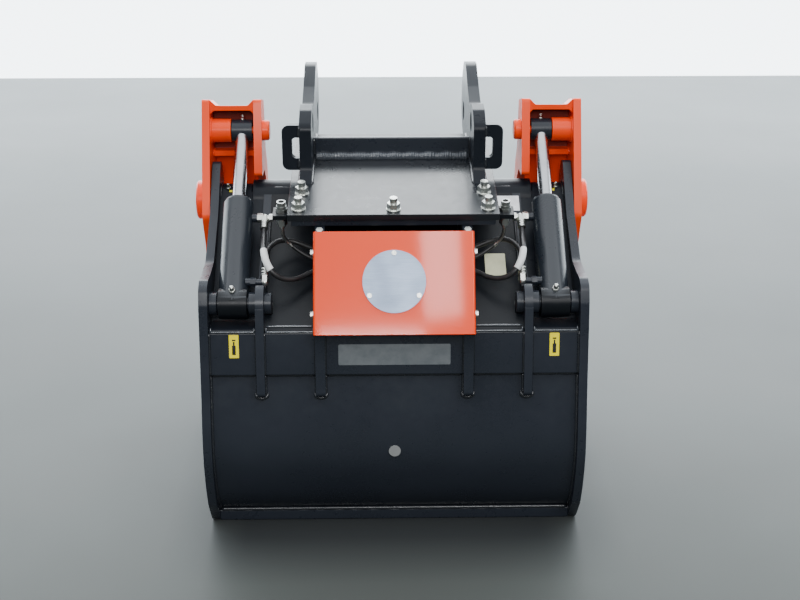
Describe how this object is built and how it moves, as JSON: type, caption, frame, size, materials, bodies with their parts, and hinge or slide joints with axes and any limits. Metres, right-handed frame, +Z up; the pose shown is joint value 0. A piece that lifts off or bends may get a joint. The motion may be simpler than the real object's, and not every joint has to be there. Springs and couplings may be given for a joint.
{
  "type": "four-in-one excavator bucket",
  "caption": "Four-in-one clamshell bucket with hydraulic jaw, twin cylinders, pin-on hitch ears and a covered valve bay.",
  "frame": {"origin": "centre of the bounding box on the floor, bucket standing closed on its flat bottom", "axes": "+Z up, +Y from the back of the shell to the mouth and cutting edge, +X to the right seen from the back"},
  "size_m": [0.874, 0.7785, 0.9083],
  "materials": {
    "charcoal_paint": "satin powder coat",
    "orange_paint": "gloss paint",
    "hose_rubber": "matte",
    "chrome_rod": "ground and hard chromed",
    "zinc": "zinc plated",
    "disc_steel": "satin",
    "aluminium": "satin"
  },
  "bodies": {
    "shell": {"back_plate": "charcoal_paint", "base_pin_spacers": "charcoal_paint", "base_pins": "charcoal_paint", "box_beam": "charcoal_paint", "coupler_brackets": "charcoal_paint", "cover_disc": "disc_steel", "cover_screws": "zinc", "cross_tube": "charcoal_paint", "cylinder_wells": "charcoal_paint", "data_plate": "aluminium", "drain_plug": "zinc", "ear_bosses": "charcoal_paint", "feed_pipes": "zinc", "hitch_cross_bar": "charcoal_paint", "hitch_ear_left": "charcoal_paint", "hitch_ear_right": "charcoal_paint", "hitch_fasteners": "zinc", "hitch_plate": "charcoal_paint", "hose_lower_left": "hose_rubber", "hose_lower_right": "hose_rubber", "hose_upper_left": "hose_rubber", "hose_upper_right": "hose_rubber", "inner_ribs": "charcoal_paint", "lifting_eyes": "charcoal_paint", "manifold_block": "aluminium", "manifold_fittings": "zinc", "outer_rib_left": "charcoal_paint", "outer_rib_right": "charcoal_paint", "pivot_bosses": "charcoal_paint", "quick_couplers": "zinc", "rear_blade": "charcoal_paint", "shell_grease_nipples": "zinc", "shell_skin": "charcoal_paint", "side_plate_left": "charcoal_paint", "side_plate_right": "charcoal_paint", "top_flange": "charcoal_paint", "valve_cartridges": "zinc", "valve_cover": "orange_paint"},
    "jaw": {"arm_box_left": "orange_paint", "arm_box_right": "orange_paint", "arm_inner_left": "orange_paint", "arm_inner_right": "orange_paint", "arm_outer_left": "orange_paint", "arm_outer_right": "orange_paint", "cutting_edge": "charcoal_paint", "jaw_floor": "charcoal_paint", "jaw_side_left": "charcoal_paint", "jaw_side_right": "charcoal_paint", "pivot_pin_left": "orange_paint", "pivot_pin_right": "orange_paint", "rod_pin_left": "orange_paint", "rod_pin_right": "orange_paint"},
    "barrel_left": {"barrel_left": "charcoal_paint", "gland_left": "charcoal_paint", "port_fittings_left": "zinc"},
    "rod_left": {"piston_rod_left": "chrome_rod"},
    "barrel_right": {"barrel_right": "charcoal_paint", "gland_right": "charcoal_paint", "port_fittings_right": "zinc"},
    "rod_right": {"piston_rod_right": "chrome_rod"}
  },
  "joints": [
    {"name": "jaw_hinge", "type": "hinge", "parent": "shell", "child": "jaw", "pos_m": [0, 0.01427, 0.64], "axis": [1, 0, 0], "range_deg": [0, 50]},
    {"name": "barrel_swing_left", "type": "hinge", "parent": "shell", "child": "barrel_left", "pos_m": [-0.333, -0.29373, 0.507], "axis": [1, 0, 0], "range_deg": [-0.2, 9.99], "deforming": ["hose_upper_left", "hose_lower_left"]},
    {"name": "rod_slide_left", "type": "slide", "parent": "barrel_left", "child": "rod_left", "axis": [0, 0.7586, 0.6515], "range_m": [-0.11509, 0.001]},
    {"name": "barrel_swing_right", "type": "hinge", "parent": "shell", "child": "barrel_right", "pos_m": [0.333, -0.29373, 0.507], "axis": [1, 0, 0], "range_deg": [-0.2, 9.99], "deforming": ["hose_upper_right", "hose_lower_right"]},
    {"name": "rod_slide_right", "type": "slide", "parent": "barrel_right", "child": "rod_right", "axis": [0, 0.7586, 0.6515], "range_m": [-0.11509, 0.001]}
  ],
  "couplings": [
    {"joint": "barrel_swing_left", "follows": "jaw_hinge", "ratio": 0.19583},
    {"joint": "rod_slide_left", "follows": "jaw_hinge", "m_per_rad": -0.13073},
    {"joint": "barrel_swing_right", "follows": "jaw_hinge", "ratio": 0.19583},
    {"joint": "rod_slide_right", "follows": "jaw_hinge", "m_per_rad": -0.13073}
  ]
}
